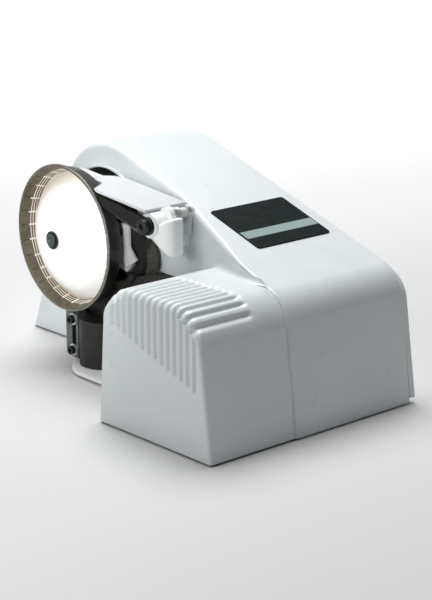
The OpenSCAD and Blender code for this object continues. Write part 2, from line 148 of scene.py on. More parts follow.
def painted(name, color, rough=0.32, coat=0.25, peel=0.06, grime=0.06, low=None):
    """Sprayed enamel: orange peel, faint mottling and specks, and darker towards the floor below
    the height low.
    """
    g = Graph(name)
    cloud = g.noise(9, 4)
    tone = g.mix(g.spread(cloud, 0.3, 0.7), shade(color, 0.965), color)
    # Darker towards the floor below the height low, by up to grime.
    if low:
        height = g.math("ADD", g.axis("Z"), g.math("MULTIPLY", cloud, 0.012))
        tone = g.mix(g.spread(height, 0.0, low, grime, 0.0), tone, shade(color, 0.55))
    specks = g.spread(g.noise(420, 2), 0.76, 0.84, 0.0, grime)
    g.set(Base_Color=g.mix(specks, tone, shade(color, 0.45)),
          Roughness=g.spread(g.noise(38, 4), 0.25, 0.75, rough - 0.05, rough + 0.07),
          Coat_Weight=coat, Coat_Roughness=0.12)
    return g.bump(g.noise(520, 2), peel, 0.0002).mat


def cast(name, color, rough=0.5, grain=0.35, worn=None, gloss=0.45):
    """Painted or bare casting: sandy grain and uneven gloss."""
    g = Graph(name)
    tone = g.mix(g.spread(g.noise(22, 5), 0.3, 0.7), shade(color, 0.7), shade(color, 1.25))
    if worn:
        tone = g.mix(g.spread(g.noise(75, 6, 0.7), 0.60, 0.72, 0, 0.55), tone, worn)
    g.set(Base_Color=tone, Roughness=g.spread(g.noise(60, 4), 0.2, 0.8, rough - 0.1, rough + 0.12),
          Specular_IOR_Level=gloss)
    return g.bump(g.noise(700, 3), grain, 0.0004).mat


def metal(name, color, rough, stretch, depth, tarnish=0.3, metallic=1.0):
    """Machined metal: fine marks along one direction, and cloudy tarnish."""
    g = Graph(name)
    cloud = g.noise(45, 5, 0.6)
    marks = g.noise(900, 3, 0.6, stretch)
    tone = g.mix(g.spread(cloud, 0.35, 0.7, 0, tarnish), color, shade(color, 0.55))
    uneven = g.math("ADD", cloud, g.math("MULTIPLY", marks, 0.4))
    g.set(Base_Color=g.mix(g.spread(marks, 0.35, 0.65, 0, 0.25), tone, shade(color, 0.8)),
          Metallic=metallic, Roughness=g.spread(uneven, 0.4, 1.0, rough - 0.06, rough + 0.14))
    return g.bump(marks, depth, 0.0002).mat


def plastic(name, color, rough=0.45, grain=0.25):
    """Moulded plastic or rubber: fine grain and a little unevenness in colour and gloss."""
    g = Graph(name)
    tone = g.mix(g.spread(g.noise(60, 4), 0.3, 0.7), shade(color, 0.8), shade(color, 1.2))
    g.set(Base_Color=tone,
          Roughness=g.spread(g.noise(140, 3), 0.3, 0.7, rough - 0.06, rough + 0.08))
    return g.bump(g.noise(1500, 2), grain, 0.0002).mat


# ---- materials ----

WHITE = (0.72, 0.765, 0.775)
white_paint = painted("white_enamel", WHITE, low=0.03, grime=0.035)
plate_white = painted("plate_enamel", (0.59, 0.615, 0.635),
                      rough=0.42, coat=0.03, peel=0.03, grime=0.03)
# Nearly white and lighter than the hood's enamel: painted light that lifts the base's lobe out of
# the shade of the cover and pedestal.
base_grey = painted("lightened_base_paint", (0.92, 0.925, 0.915), rough=0.42, grime=0.15, peel=0.12)
black_cast = cast("black_casting", (0.016, 0.017, 0.014), 0.45, 0.3,
                  worn=(0.045, 0.040, 0.034), gloss=0.32)
olive = cast("oiled_ring", (0.085, 0.085, 0.06), 0.36, 0.2, worn=(0.2, 0.19, 0.16))
bracket_steel = metal("blackened_plate", (0.17, 0.20, 0.195), 0.42, (1, 1, 0.05), 0.25)
dark_screw = metal("blackened_screw", (0.055, 0.066, 0.062), 0.36, (0.1, 1, 1), 0.15)
bright = metal("bright_steel", (0.68, 0.69, 0.69), 0.32, (0.08, 1, 1), 0.12, metallic=0.75)
polished = metal("polished_steel", (0.84, 0.83, 0.835), 0.34, (0.03, 1, 1), 0.05,
                 tarnish=0.08, metallic=0.3)
brushed = metal("brushed_lever", (0.66, 0.65, 0.655), 0.45, (1, 0.05, 1), 0.2,
                tarnish=0.12, metallic=0.2)
# Lighter than the hood's white enamel: painted light on the bracket, whose front faces away from
# the lamps.
lightened_bracket_enamel = painted("lightened_bracket_enamel", (0.90, 0.925, 0.915), rough=0.36, peel=0.1)
hub_steel = metal("worn_hub_screw", (0.13, 0.15, 0.14), 0.4, (0.1, 1, 1), 0.15)
alloy = cast("cast_alloy", (0.42, 0.43, 0.43), 0.5, 0.3)
rubber = plastic("black_rubber", (0.03, 0.03, 0.03), 0.75, 0.5)
black_plastic = plastic("black_plastic", (0.03, 0.033, 0.033))
red_plastic = plastic("red_rocker", (0.28, 0.015, 0.012), 0.28, 0.1)
arm_black = cast("arm_enamel", (0.010, 0.010, 0.009), 0.55, 0.15, gloss=0.2)
motor_blue = painted("motor_enamel", (0.09, 0.15, 0.21), rough=0.4, grime=0.2)
winding = metal("lacquered_copper", (0.55, 0.27, 0.14), 0.35, (1, 0.05, 1), 0.4)

BY_SLOT = {
    "white_paint": white_paint, "plate_white": plate_white, "base_grey": base_grey,
    "black_casting": black_cast, "black_plastic": black_plastic, "red_plastic": red_plastic,
    "plate_dark": arm_black, "olive_steel": olive, "dark_steel": dark_screw,
    "bright_steel": bright, "chrome_steel": polished, "cast_alloy": alloy,
    "wheel_black": black_cast, "bronze": alloy, "ivory_face": plate_white,
    "rubber_black": rubber, "motor_blue": motor_blue, "copper_wind": winding, "arm_dark": arm_black,
}
SLOT_OF = {s["node"]: s["material_slot"] for s in frame["record"]["subparts"]}
OWN = {"slide_bracket": bracket_steel, "clamp_lever": brushed,
       "hinge_bracket": lightened_bracket_enamel, "hub_screw": hub_steel}


def finish_node(node, material, bevel):
    """Gives a CAD node its material, merges its flat facets, softens its edges by bevel metres."""
    o = NODES[node]
    o.data.materials.clear()
    o.data.materials.append(material)
    weld = o.modifiers.new("weld", "WELD")
    weld.merge_threshold = WELD_DISTANCE
    flat = o.modifiers.new("merge flat facets", "DECIMATE")
    flat.decimate_type = "DISSOLVE"
    flat.angle_limit = math.radians(FLAT_DEG)
    if bevel:
        b = o.modifiers.new("soft edges", "BEVEL")
        b.width = bevel
        b.segments = 3
        b.limit_method = "ANGLE"
        b.angle_limit = math.radians(SHARP_DEG)
        weight_normals(o, keep_sharp=False)
    for p in o.data.polygons:
        p.use_smooth = True
    if not bevel:
        smooth_by_angle(o)


def weight_normals(o, keep_sharp):
    """Lets large faces decide the shading, so that flat faces look flat up to rounded edges."""
    m = o.modifiers.new("weighted normals", "WEIGHTED_NORMAL")
    m.keep_sharp = keep_sharp
    m.weight = 90


def smooth_by_angle(o):
    """Marks sharp edges so that smooth shading stops at them."""
    limit = math.radians(SHARP_DEG)
    bm = bmesh.new()
    bm.from_mesh(o.data)
    for e in bm.edges:
        e.smooth = len(e.link_faces) == 2 and e.calc_face_angle(0) < limit
    bm.to_mesh(o.data)
    bm.free()


# Edge radii in millimetres; the other nodes keep their CAD edges.
BEVELS = {"base_plate": 0.4, "pedestal": 1.2, "slide_bracket": 0.5, "drive_housing": 1.0,
          "clamp_lever": 0.35, "hinge_bracket": 1.6, "table_plate": 0.6, "rest_bar": 0.4,
          "support_arm": 0.4, "arm_liner": 0.3, "right_end_cover": 1.2, "port_ring": 1.2,
          "flange_ring": 0.3, "hub_washer": 0.3, "pivot_screw": 0.5, "hub_screw": 0.5,
          "power_inlet": 0.5, "switch_bezel": 0.5, "rocker_switch": 0.6}

for node in NODES:
    finish_node(node, OWN.get(node) or BY_SLOT[SLOT_OF[node]], BEVELS.get(node, 0) * MM)


# ---- mesh helpers; sizes below are millimetres in the CAD frame ----

def to_object(name, bm, material, body="machine", weighted=True):
    """Turns a bmesh drawn in millimetres into a smooth-shaded piece that rides on a CAD body."""
    bmesh.ops.remove_doubles(bm, verts=bm.verts, dist=0.002)
    bmesh.ops.recalc_face_normals(bm, faces=bm.faces)
    bmesh.ops.scale(bm, vec=(MM, MM, MM), verts=bm.verts)
    for f in bm.faces:
        f.smooth = True
    me = bpy.data.meshes.new(name)
    bm.to_mesh(me)
    bm.free()
    me.materials.append(material)
    o = bpy.data.objects.new(name, me)
    bpy.context.scene.collection.objects.link(o)
    if weighted:
        weight_normals(o, keep_sharp=True)
    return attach(o, body)


def new_skin(piece, node):
    """piece stands for the CAD node, which is hidden."""
    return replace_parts(piece, node)


def add_grid(bm, rows, closed=False):
    """Joins rows of points with faces; closed joins each row's end to its start."""
    vs = [[bm.verts.new(p) for p in row] for row in rows]
    for a, b in zip(vs, vs[1:]):
        n = len(a)
        for i in range(n if closed else n - 1):
            bm.faces.new((a[i], a[(i + 1) % n], b[(i + 1) % n], b[i]))
    return vs


def span(a, b, n):
    """n + 1 numbers from a to b."""
    return [a + (b - a) * i / n for i in range(n + 1)]


def ease(t):
    """A smooth step from 0 at t = 0 to 1 at t = 1."""
    t = min(1.0, max(0.0, t))
    return t * t * (3 - 2 * t)


def tangent_normal(a, ra, b, rb):
    """Unit normal of the outer tangent from circle a to circle b."""
    dx, dy = b[0] - a[0], b[1] - a[1]
    d = math.hypot(dx, dy)
    dx, dy, k = dx / d, dy / d, (ra - rb) / d
    w = math.sqrt(1 - k * k)
    return k * dx - w * dy, k * dy + w * dx


def profile(front, rear, circles, inset, turn_step, wall_step):
    """Points (y, z, ny, nz) of an outline, from the front foot over each circle to the rear foot.

    It lies inset mm inside the circles. Arcs turn by up to turn_step degrees at a time, and the
    straight runs are split about every wall_step mm."""
    cs = [((front[0] + inset, front[1]), 0)]
    cs += [(c, r - inset) for c, r in circles]
    cs.append(((rear[0] - inset, rear[1]), 0))
    normals = [tangent_normal(*a, *b) for a, b in zip(cs, cs[1:])]
    pts = [(*cs[0][0], *normals[0])]
    for i, (c, r) in enumerate(cs[1:-1]):
        a, b = (math.atan2(n[1], n[0]) for n in normals[i:i + 2])
        turn = (a - b) % (2 * math.pi)
        n = max(2, math.ceil(math.degrees(turn) / turn_step))
        arc = []
        for k in range(n + 1):
            t = a - turn * k / n
            arc.append((c[0] + r * math.cos(t), c[1] + r * math.sin(t), math.cos(t), math.sin(t)))
        pts += run(pts[-1], arc[0], wall_step) + arc
    last = (*cs[-1][0], *normals[-1])
    return pts + run(pts[-1], last, wall_step) + [last]


def run(a, b, step):
    """Points between a and b, about step apart."""
    n = max(1, round(math.dist(a[:2], b[:2]) / step))
    return [tuple(a[j] + (b[j] - a[j]) * i / n for j in range(4)) for i in range(1, n)]


def rim(radius, n=6):
    """(mm in from the edge, mm under the skin) of a rounded edge, from the end face to the skin."""
    return [(radius * (1 - math.sin(t)), radius * (1 - math.cos(t)))
            for t in (math.pi / 2 * (1 - k / n) for k in range(n + 1))]


# ---- hood ----

FOOT_Z = 2.0
FRONT_Y, REAR_Y = -231.6, 231.6
BROW, BROW_R = (-181.5, 104.71), 36.0
RIDGE, RIDGE_R = (93.2, 151.1), 78.0
HOOD_CIRCLES = [(BROW, BROW_R), (RIDGE, RIDGE_R)]
HOOD_X1 = 128.0
HOOD_TURN, HOOD_STEP = 1.5, 24
WALL_X = 6.6
# Where the left end wall stands, as (y, x): it steps back behind the wheel.
HOOD_EDGE = [(-300, -28.2), (-191.4, -28.2), (-148.2, -24.5), (-31.2, WALL_X), (300, WALL_X)]
PORT, PORT_R, PORT_STEPS = (94.3, 146.0), 58.2, 120
HOOD_RIM, HOOD_INNER_RIM, HOOD_RIGHT_RIM = 5.0, 2.0, 2.5
RIM_Y0, RIM_RUN = -150, 60
SHEET = 3.0
FLANGE = 14
# The end wall's lower edge is cut out over the base's lobe.
NOTCH = [(115, FOOT_Z), (115, 8), (-212, 8), (-212, FOOT_Z)]


def edge_x(y):
    """Where the hood's left end wall stands at the depth y."""
    for (ya, xa), (yb, xb) in zip(HOOD_EDGE, HOOD_EDGE[1:]):
        if y <= yb:
            return xa + (xb - xa) * (y - ya) / (yb - ya)
    return HOOD_EDGE[-1][1]


def hood_outline(inset):
    return profile((FRONT_Y, FOOT_Z), (REAR_Y, FOOT_Z), HOOD_CIRCLES, inset, HOOD_TURN, HOOD_STEP)


def port_point(k, x):
    """A point on the port's edge at x, k steps of PORT_STEPS round."""
    t = 2 * math.pi * k / PORT_STEPS
    return x, PORT[0] + PORT_R * math.cos(t), PORT[1] + PORT_R * math.sin(t)


def hood_skin(bm, inset, radius):
    """The hood's sheet from its left rim, which is tighter towards the front, to its right rim."""
    right = rim(min(radius, HOOD_RIGHT_RIM), 4)
    rows = []
    for y, z, ny, nz in hood_outline(inset):
        left = rim(min(radius, HOOD_INNER_RIM + radius * ease((y - RIM_Y0) / RIM_RUN)))
        row = [(edge_x(y) + inset + along, y - ny * under, z - nz * under) for along, under in left]
        a, b = row[-1][0], HOOD_X1 - inset - right[-1][0]
        row += [(x, y, z) for x in span(a, b, 6)[1:-1]]
        row += [(HOOD_X1 - inset - along, y - ny * under, z - nz * under)
                for along, under in reversed(right)]
        rows.append([(x, y, max(z, FOOT_Z)) for x, y, z in row])
    add_grid(bm, rows)
    return rows


def end_wall(bm, border, offset):
    """The hood's left end wall inside border, with the port's hole and the wall's creases."""
    pts = [Vector((y, z)) for y, z in border]
    n = len(pts)
    edges = [(i, (i + 1) % n) for i in range(n)]
    for i in range(PORT_STEPS):
        pts.append(Vector(port_point(i, 0)[1:]))
        edges.append((n + i, n + (i + 1) % PORT_STEPS))
    for y, _ in HOOD_EDGE[1:4]:
        a = len(pts)
        pts += [Vector((y, FOOT_Z - 5)), Vector((y, 400))]
        edges.append((a, a + 1))
    out, _, faces, _, _, _ = geometry.delaunay_2d_cdt(pts, edges, [], 0, 1e-4)
    ring = [Vector(p) for p in border]
    vs = [bm.verts.new((edge_x(p.x) + offset, p.x, p.y)) for p in out]
    for f in faces:
        c = sum((out[i] for i in f), Vector((0, 0))) / len(f)
        if inside(c, ring) and (c - Vector(PORT)).length > PORT_R:
            bm.faces.new([vs[i] for i in f])


def inside(p, ring):
    """Whether p lies inside the closed outline ring."""
    hit = False
    for a, b in zip(ring, ring[1:] + ring[:1]):
        if (a.y > p.y) != (b.y > p.y) and p.x < (b.x - a.x) * (p.y - a.y) / (b.y - a.y) + a.x:
            hit = not hit
    return hit


def make_hood():
    """Outer and inner sheet with their left end walls, the flange at the right, the port's edge."""
    bm = bmesh.new()
    outer = hood_skin(bm, 0, HOOD_RIM)
    inner = hood_skin(bm, SHEET, HOOD_INNER_RIM)
    for rows, offset in ((outer, 0), (inner, SHEET)):
        end_wall(bm, [(row[0][1], row[0][2]) for row in rows] + NOTCH, offset)
    flange = resample(hood_outline(FLANGE), len(outer))
    add_grid(bm, [[row[-1] for row in outer], [(HOOD_X1, y, z) for y, z, _, _ in flange]])
    for i in (0, -1):
        add_grid(bm, [outer[i], inner[i]])
    for k in range(PORT_STEPS):
        add_grid(bm, [[port_point(j, x) for x in (WALL_X, WALL_X + SHEET)] for j in (k, k + 1)])
    bmesh.ops.delete(bm, geom=[v for v in bm.verts if not v.link_faces], context="VERTS")
    return new_skin(to_object("hood_shell", bm, white_paint), "hood")


def resample(pts, n):
    """n of pts, spread evenly over the list."""
    return [pts[round(i * (len(pts) - 1) / (n - 1))] for i in range(n)]


# ---- ribbed cover ----

COVER_X0 = -134.8
COVER_TOP = 143.0
COVER_REAR, COVER_MID_Y = -66.7, -150.0
COVER_BROW, COVER_BROW_R = (-176.0, 101.0), 42.0
COVER_BACK_R = 38.0
COVER_BACK = (-112.2, COVER_TOP - COVER_BACK_R)
COVER_CIRCLES = [(COVER_BROW, COVER_BROW_R), (COVER_BACK, COVER_BACK_R)]
COVER_TURN, TOP_STEP, WALL_STEP = 1.1, 0.8, 30
COVER_RIM, COVER_FRONT_RIM, COVER_REAR_RIM, RIM_FADE = 9.0, 3.5, 2.0, 0.55
# The outline's walls are where its normal's Z is at most WALL_NZ.
WALL_NZ = 0.17
RIB_PITCH, RIB_DEPTH, RIB_COUNT = 9.05, 2.8, 14
RIB_CREST, RIB_VALLEY = 1.15, 1.35
RIB_Y0 = -90.0
RIBS_Y = (-211.0, -85.4)
# Where the grooves end: on the left face each lower than the last, on the top further right.
RIB_FOOT_Z, RIB_FOOT_DROP = 104.4, 2.94
RIB_END_X, RIB_END_SHIFT = -66.0, 2.0
RIB_FOOT_RAMP, RIB_END_RAMP = 1.8, 5
FACE_ROWS, FACE_CROWD = 120, 1.15
PROUD = 1.7
# The top starts this far inside the hood's end wall, and has finer steps left of FINE_X.
COVER_LAP, FINE_X = 1.5, -60
# Its right edge is turned down, a little towards this depth and the floor.
TUCK, TUCK_Y = 0.03, -140
FILLET_R, FILLET_Y0, FILLET_FADE, FILLET_LEAST = 5.0, -190, 12, 0.3


def rib_depth(y):
    """How deep the ribs are cut at the depth y: rounded crests, sharper valleys."""
    k = (RIB_Y0 - y) / RIB_PITCH
    if k < -0.5 or k > RIB_COUNT - 0.5:
        return 0.0
    w = abs((k + 0.5) % 1 - 0.5) * 2
    return RIB_DEPTH * (1 - ease(w * RIB_CREST)) ** RIB_VALLEY


def rib_low(y):
    """Where the groove at the depth y ends on the left face."""
    return RIB_FOOT_Z - RIB_FOOT_DROP * round((RIB_Y0 - y) / RIB_PITCH)


def rib_end(y):
    """Where it ends on the top: a little further right towards the front."""
    return RIB_END_X + RIB_END_SHIFT * (RIB_Y0 - y) / (RIB_PITCH * RIB_COUNT)


def fan(y, fixed, end, foot):
    """Where a column from y has its foot: the one at end reaches foot, the one at fixed stays."""
    return fixed + (y - fixed) * (foot - fixed) / (end - fixed)


def cover_rim(ny, nz):
    """Radius of the cover's left edge: wide over the top, tighter down the front and rear walls."""
    low = COVER_FRONT_RIM if ny < 0 else COVER_REAR_RIM
    return low + (COVER_RIM - low) * ease((nz - WALL_NZ) / RIM_FADE)


def cover_outline(wall_step):
    return profile((FRONT_Y, FOOT_Z), (COVER_REAR, FOOT_Z), COVER_CIRCLES, PROUD, COVER_TURN,
                   wall_step)


def cover_row(y, z, ny, nz):
    """Points from inside the hood's end wall along the top and round the left edge."""
    radius = cover_rim(ny, nz)
    d = rib_depth(y) if nz > WALL_NZ else 0
    row = []
    for x in span(edge_x(y) + COVER_LAP, FINE_X, 4)[:-1] + span(FINE_X, COVER_X0 + radius, 24):
        cut = d * ease((rib_end(y) - x) / RIB_END_RAMP)
        row.append((x, y - ny * cut, z - nz * cut))
    for along, under in reversed(rim(radius, 10)[:-1]):
        t = math.acos(1 - under / radius)
        down = under + d * math.cos(t)
        row.append((COVER_X0 + along + d * math.sin(t), y - ny * down, z - nz * down))
    return row


def face_column(start, z_flat, foot_y):
    """Points down the left face from start, a point of the edge, to the foot at foot_y."""
    x, y, z = start
    column = [start]
    for k in range(1, FACE_ROWS + 1):
        zz = z + (FOOT_Z - z) * (k / FACE_ROWS) ** FACE_CROWD
        d = rib_depth(y) * ease((zz - rib_low(y)) / RIB_FOOT_RAMP + 0.5)
        yy = y + (foot_y - y) * (z_flat - zz) / (z_flat - FOOT_Z)
        column.append((COVER_X0 + d, yy, zz))
    return column


def make_cover():
    """One sheet: from the right along the top, round the left edge and down the left face."""
    bm = bmesh.new()
    top = [p for p in cover_outline(TOP_STEP) if p[3] > WALL_NZ]
    walls = [p for p in cover_outline(WALL_STEP) if p[3] <= WALL_NZ]
    front = [p for p in walls if p[0] < COVER_MID_Y]
    rear = [p for p in walls if p[0] > COVER_MID_Y]
    rows = [cover_row(*p) for p in front + top + rear]
    add_grid(bm, rows)
    edge = [row[-1] for row in rows]
    starts = edge[len(front):len(front) + len(top)]
    columns = []
    for (_, z, ny, nz), start in zip(top, starts):
        foot_y = start[1]
        if foot_y < RIBS_Y[0]:
            foot_y = fan(foot_y, RIBS_Y[0], starts[0][1], edge[0][1])
        elif foot_y > RIBS_Y[1]:
            foot_y = fan(foot_y, RIBS_Y[1], starts[-1][1], edge[-1][1])
        columns.append(face_column(start, z - nz * cover_rim(ny, nz), foot_y))
    add_grid(bm, columns)
    right = [row[0] for row in rows]
    tucked = [(x, y + (TUCK_Y - y) * TUCK, z * (1 - TUCK)) for x, y, z in right]
    add_grid(bm, [right, tucked])
    return new_skin(to_object("ribbed_cover_shell", bm, white_paint), "ribbed_front_cover")


def make_fillet():
    """The rounded corner where the cover's top meets the hood's end wall."""
    bm = bmesh.new()
    rows = []
    for y in span(FILLET_Y0, COVER_BACK[0] + 30, 40):
        past = max(0.0, y - COVER_BACK[0])
        drop = COVER_BACK_R - math.sqrt(COVER_BACK_R ** 2 - past ** 2)
        x, z = edge_x(y), COVER_TOP - PROUD - drop
        r = FILLET_R * ease((y - FILLET_Y0) / FILLET_FADE) + FILLET_LEAST
        rows.append([(x - r + r * math.sin(t), y, z + r - r * math.cos(t))
                     for t in span(0, math.pi / 2, 8)])
    add_grid(bm, rows)
    return to_object("cover_fillet", bm, white_paint)


make_hood()
make_cover()
make_fillet()


# ---- the hinge bracket's cast front ----

# The casting's side outline as (y, z), and the point that its ends close in on.
CAST_SIDE = [(-62.6, 145.5), (-62.6, 183.0), (-55.4, 182.4), (-50.5, 172.6), (-30.0, 171.0),
             (-26.0, 161.0), (-57.5, 143.5)]
CAST_CORE = (-40.0, 170.0)
CAST_X = (-45.0, -21.0)
CAST_CORNER_R, CAST_LEFT_R, CAST_RIGHT_R = 2.6, 12.0, 3.0
CAST_REACH = 22


def rounded(points, radius):
    """A closed outline with its corners rounded off."""
    points = [Vector(p) for p in points]
    out = []
    for i, p in enumerate(points):
        a, b = ((points[j % len(points)] - p).normalized() * radius + p for j in (i - 1, i + 1))
        out += [a.lerp(p, t).lerp(p.lerp(b, t), t) for t in span(0, 1, 5)]
    return out


def make_cast_front():
    """The casting's broad front: swelling out of the knuckle on its left, square on its right."""
    bm = bmesh.new()
    core = Vector(CAST_CORE)
    side = rounded(CAST_SIDE, CAST_CORNER_R)
    x0, x1 = CAST_X
    left = [x0 + CAST_LEFT_R * (1 - math.cos(t)) for t in span(0.2, math.pi / 2, 12)]
    right = [x1 - CAST_RIGHT_R * (1 - math.sin(t)) for t in span(0, math.pi / 2, 6)]
    rows = []
    for x in left + right:
        swell = math.sqrt(max(0.0, 1 - max(0.0, 1 - (x - x0) / CAST_LEFT_R) ** 2))
        tuck = CAST_RIGHT_R - math.sqrt(CAST_RIGHT_R ** 2 - max(0.0, x - x1 + CAST_RIGHT_R) ** 2)
        k = swell * (1 - tuck / CAST_REACH)
        rows.append([(x, *(core + (p - core) * k)) for p in side])
    vs = add_grid(bm, rows, closed=True)
    for ring in (vs[0], vs[-1]):
        bm.faces.new(ring)
    material = NODES["hinge_bracket"].data.materials[0]
    return to_object("bracket_cast_front", bm, material)


make_cast_front()


# ---- wheel ----

WHEEL_X = -53.4
AXIS = (93.4, 138.2)
WHEEL_R = 77.0
BACK_X = WHEEL_X + 22.0
FLOOR_X = BACK_X - 2.2
FACE_X = BACK_X - 4.2
FACE_R, FACE_RISE = 67.5, 30.0
DOME_R = (FACE_R ** 2 + FACE_RISE ** 2) / (2 * FACE_RISE)
HUB_R, SPINDLE_HOLE_R = 12, 8.56
ROUND_SIDES = 192
SEGMENTS = 28
# The bronze wall leans outwards: its radius grows by BRONZE_FLARE over BRONZE_LENGTH.
BRONZE_START, BRONZE_LENGTH = 1.6, 20.0
BRONZE_R, BRONZE_FLARE, BRONZE_LEAN = WHEEL_R - 9.05, 6.0, 0.985
# Sections of the ladder's bars on that wall: (side, lift) pairs, the lift in millimetres.
RING_DEPTHS, RING_HALF = (2.4, 5.0, 7.6, 10.2), 0.34
RING_SECTION = [(-1, -0.2), (-1, 0.22), (0, 0.34), (1, 0.22), (1, -0.2)]
RUNG_START, RUNG_HALF_ANGLE = 1.2, 0.85 / 70
RUNG_SECTION = [(-1, -0.2), (-1, 0.36), (0, 0.52), (1, 0.36), (1, -0.2)]


def side_angle(i):
    """The angle of side i of ROUND_SIDES."""
    return 2 * math.pi * i / ROUND_SIDES


def lathe(bm, points):
    """Turns (radius, x) points around the spindle's axis."""
    turns = [side_angle(i) for i in range(ROUND_SIDES)]
    add_grid(bm, [[(x, AXIS[0] + r * math.cos(t), AXIS[1] + r * math.sin(t)) for t in turns]
                  for r, x in points], closed=True)


def polar(g, shift=0.0):
    """(radius in mm, turns) sockets around the spindle's axis, or shift mm along Y from it."""
    y = g.math("SUBTRACT", g.axis("Y"), (AXIS[0] + shift) * MM)
    z = g.math("SUBTRACT", g.axis("Z"), AXIS[1] * MM)
    r = g.math("SQRT", g.math("ADD", g.math("MULTIPLY", y, y), g.math("MULTIPLY", z, z)))
    turns = g.math("DIVIDE", g.math("ARCTAN2", z, y), 2 * math.pi)
    return g.math("DIVIDE", r, MM), turns


def face_material():
    """White enamel with a warm buff crescent of painted shade round the dome's foot, further in on
    the side that turns from the light.
    """
    g = Graph("wheel_face_enamel")
    # Painted shade: a ring off the axis, darker and warmer towards its outside, stands in for the
    # dome's far side falling into shade.
    r, _ = polar(g, -18.0)
    wobble = g.math("MULTIPLY", g.math("SUBTRACT", g.noise(30, 3), 0.5), 4.0)
    shade_crescent = g.spread(g.math("ADD", r, wobble), 54, 72)
    tone = g.mix(shade_crescent, (0.985, 0.985, 0.965), (0.80, 0.735, 0.635))
    dust = g.spread(g.noise(260, 3), 0.70, 0.80, 0, 0.06)
    g.set(Base_Color=g.mix(dust, tone, (0.6, 0.55, 0.48)), Coat_Weight=0.15,
          Roughness=g.spread(g.noise(70, 4), 0.3, 0.7, 0.36, 0.5))
    return g.bump(g.noise(420, 3), 0.05, 0.0002).mat


def bronze_material():
    """Worn bronze: streaks along the axis, darker joints between segments, a redder foot."""
    g = Graph("worn_bronze")
    _, turns = polar(g)
    x = g.axis("X")
    cell = g.math("FRACT", g.math("ADD", g.math("MULTIPLY", turns, SEGMENTS), 0.5))
    off_joint = g.math("ABSOLUTE", g.math("SUBTRACT", cell, 0.5))
    joint = g.math("SUBTRACT", 1.0, g.spread(off_joint, 0.01, 0.05))
    near_lip = g.spread(x, (WHEEL_X + 10) * MM, (WHEEL_X + 6) * MM)
    patch = g.spread(g.noise(70, 5, 0.65), 0.35, 0.68)
    tone = g.mix(patch, (0.115, 0.100, 0.062), (0.19, 0.172, 0.118))
    foot = g.spread(x, (WHEEL_X + 5) * MM, (FACE_X - 2) * MM)
    tone = g.mix(g.math("MULTIPLY", foot, 0.6), tone, (0.24, 0.165, 0.11))
    joint = g.math("MULTIPLY", joint, g.math("MULTIPLY", near_lip, 0.8))
    tone = g.mix(joint, tone, (0.015, 0.014, 0.012))
    streak = g.noise(380, 3, 0.6, (0.15, 1, 1))
    g.set(Base_Color=g.mix(g.spread(streak, 0.35, 0.7, 0, 0.35), tone, (0.06, 0.05, 0.035)),
          Metallic=0.25, Roughness=g.spread(patch, 0, 1, 0.42, 0.56))
    return g.bump(streak, 0.2, 0.0003).mat


def dish_material():
    """Black enamel worn to bare grey metal at the lip."""
    g = Graph("dish_enamel")
    x = g.axis("X")
    wear = g.math("MULTIPLY", g.math("SUBTRACT", g.noise(120, 5, 0.7), 0.5), 0.004)
    bare = g.spread(g.math("ADD", x, wear), (WHEEL_X + 2.2) * MM, (WHEEL_X + 0.6) * MM)
    tone = g.mix(g.spread(g.noise(40, 4), 0.3, 0.7), (0.020, 0.020, 0.018), (0.040, 0.036, 0.032))
    g.set(Base_Color=g.mix(bare, tone, (0.20, 0.195, 0.18)), Metallic=0.3,
          Roughness=g.spread(g.noise(90, 4), 0.3, 0.7, 0.28, 0.42))
    return g.bump(g.noise(700, 3), 0.12, 0.0003).mat


def dome_x(r):
    """Where the domed face stands at the radius r."""
    return FACE_X - FACE_RISE + DOME_R - math.sqrt(DOME_R * DOME_R - r * r)


def make_dome():
    """The wheel's face: its foot, a shallow step, the dome and a raised middle round the screw."""
    bm = bmesh.new()
    pts = [(FACE_R - 1.5, FACE_X + 1.2), (FACE_R, FACE_X + 0.8), (FACE_R, FACE_X)]
    pts += [(r, dome_x(r)) for r in span(FACE_R - 0.6, 57.5, 8)]
    pts += [(57.0, dome_x(57.0) - 0.25), (56.0, dome_x(56.0) - 0.45)]
    pts += [(r, dome_x(r) - 0.5) for r in span(55, 12, 36)]
    pts += [(11, dome_x(11) - 0.45), (10.4, dome_x(10.4) + 0.2), (4.7, dome_x(4.7) + 0.3)]
    lathe(bm, pts)
    new_skin(to_object("wheel_dome", bm, face_material(), "spindle"), "wheel_face")


def make_dish():
    """The dish: out along its floor, up its flare, over the thin lip and back down its outside."""
    bm = bmesh.new()
    lip = WHEEL_R - 1
    hub_x = WHEEL_X - 3
    lathe(bm, [(HUB_R, FLOOR_X), (WHEEL_R - 7, FLOOR_X),
               (lip - 1.9, WHEEL_X + 1.4), (lip - 1.8, WHEEL_X + 0.6), (lip - 1.3, WHEEL_X + 0.1),
               (lip - 0.8, WHEEL_X), (WHEEL_R - 0.3, WHEEL_X + 0.1), (WHEEL_R, WHEEL_X + 0.5),
               (WHEEL_R, WHEEL_X + 2.6), (WHEEL_R - 0.4, WHEEL_X + 3.2),
               (WHEEL_R - 2.8, WHEEL_X + 10), (WHEEL_R - 4.6, BACK_X - 3.5),
               (WHEEL_R - 6.3, BACK_X - 0.8), (WHEEL_R - 8.5, BACK_X),
               (30, BACK_X), (SPINDLE_HOLE_R, BACK_X), (SPINDLE_HOLE_R, hub_x),
               (HUB_R, hub_x), (HUB_R, FLOOR_X)])
    new_skin(to_object("wheel_dish", bm, dish_material(), "spindle"), "wheel_drum")


def wall_point(depth, t, lift):
    """A point depth mm out along the bronze wall at the angle t, lift mm off it."""
    k = (depth - BRONZE_START) / BRONZE_LENGTH
    r = BRONZE_R + BRONZE_FLARE * k - lift
    x = FLOOR_X - BRONZE_LENGTH * k * BRONZE_LEAN
    return x, AXIS[0] + r * math.cos(t), AXIS[1] + r * math.sin(t)


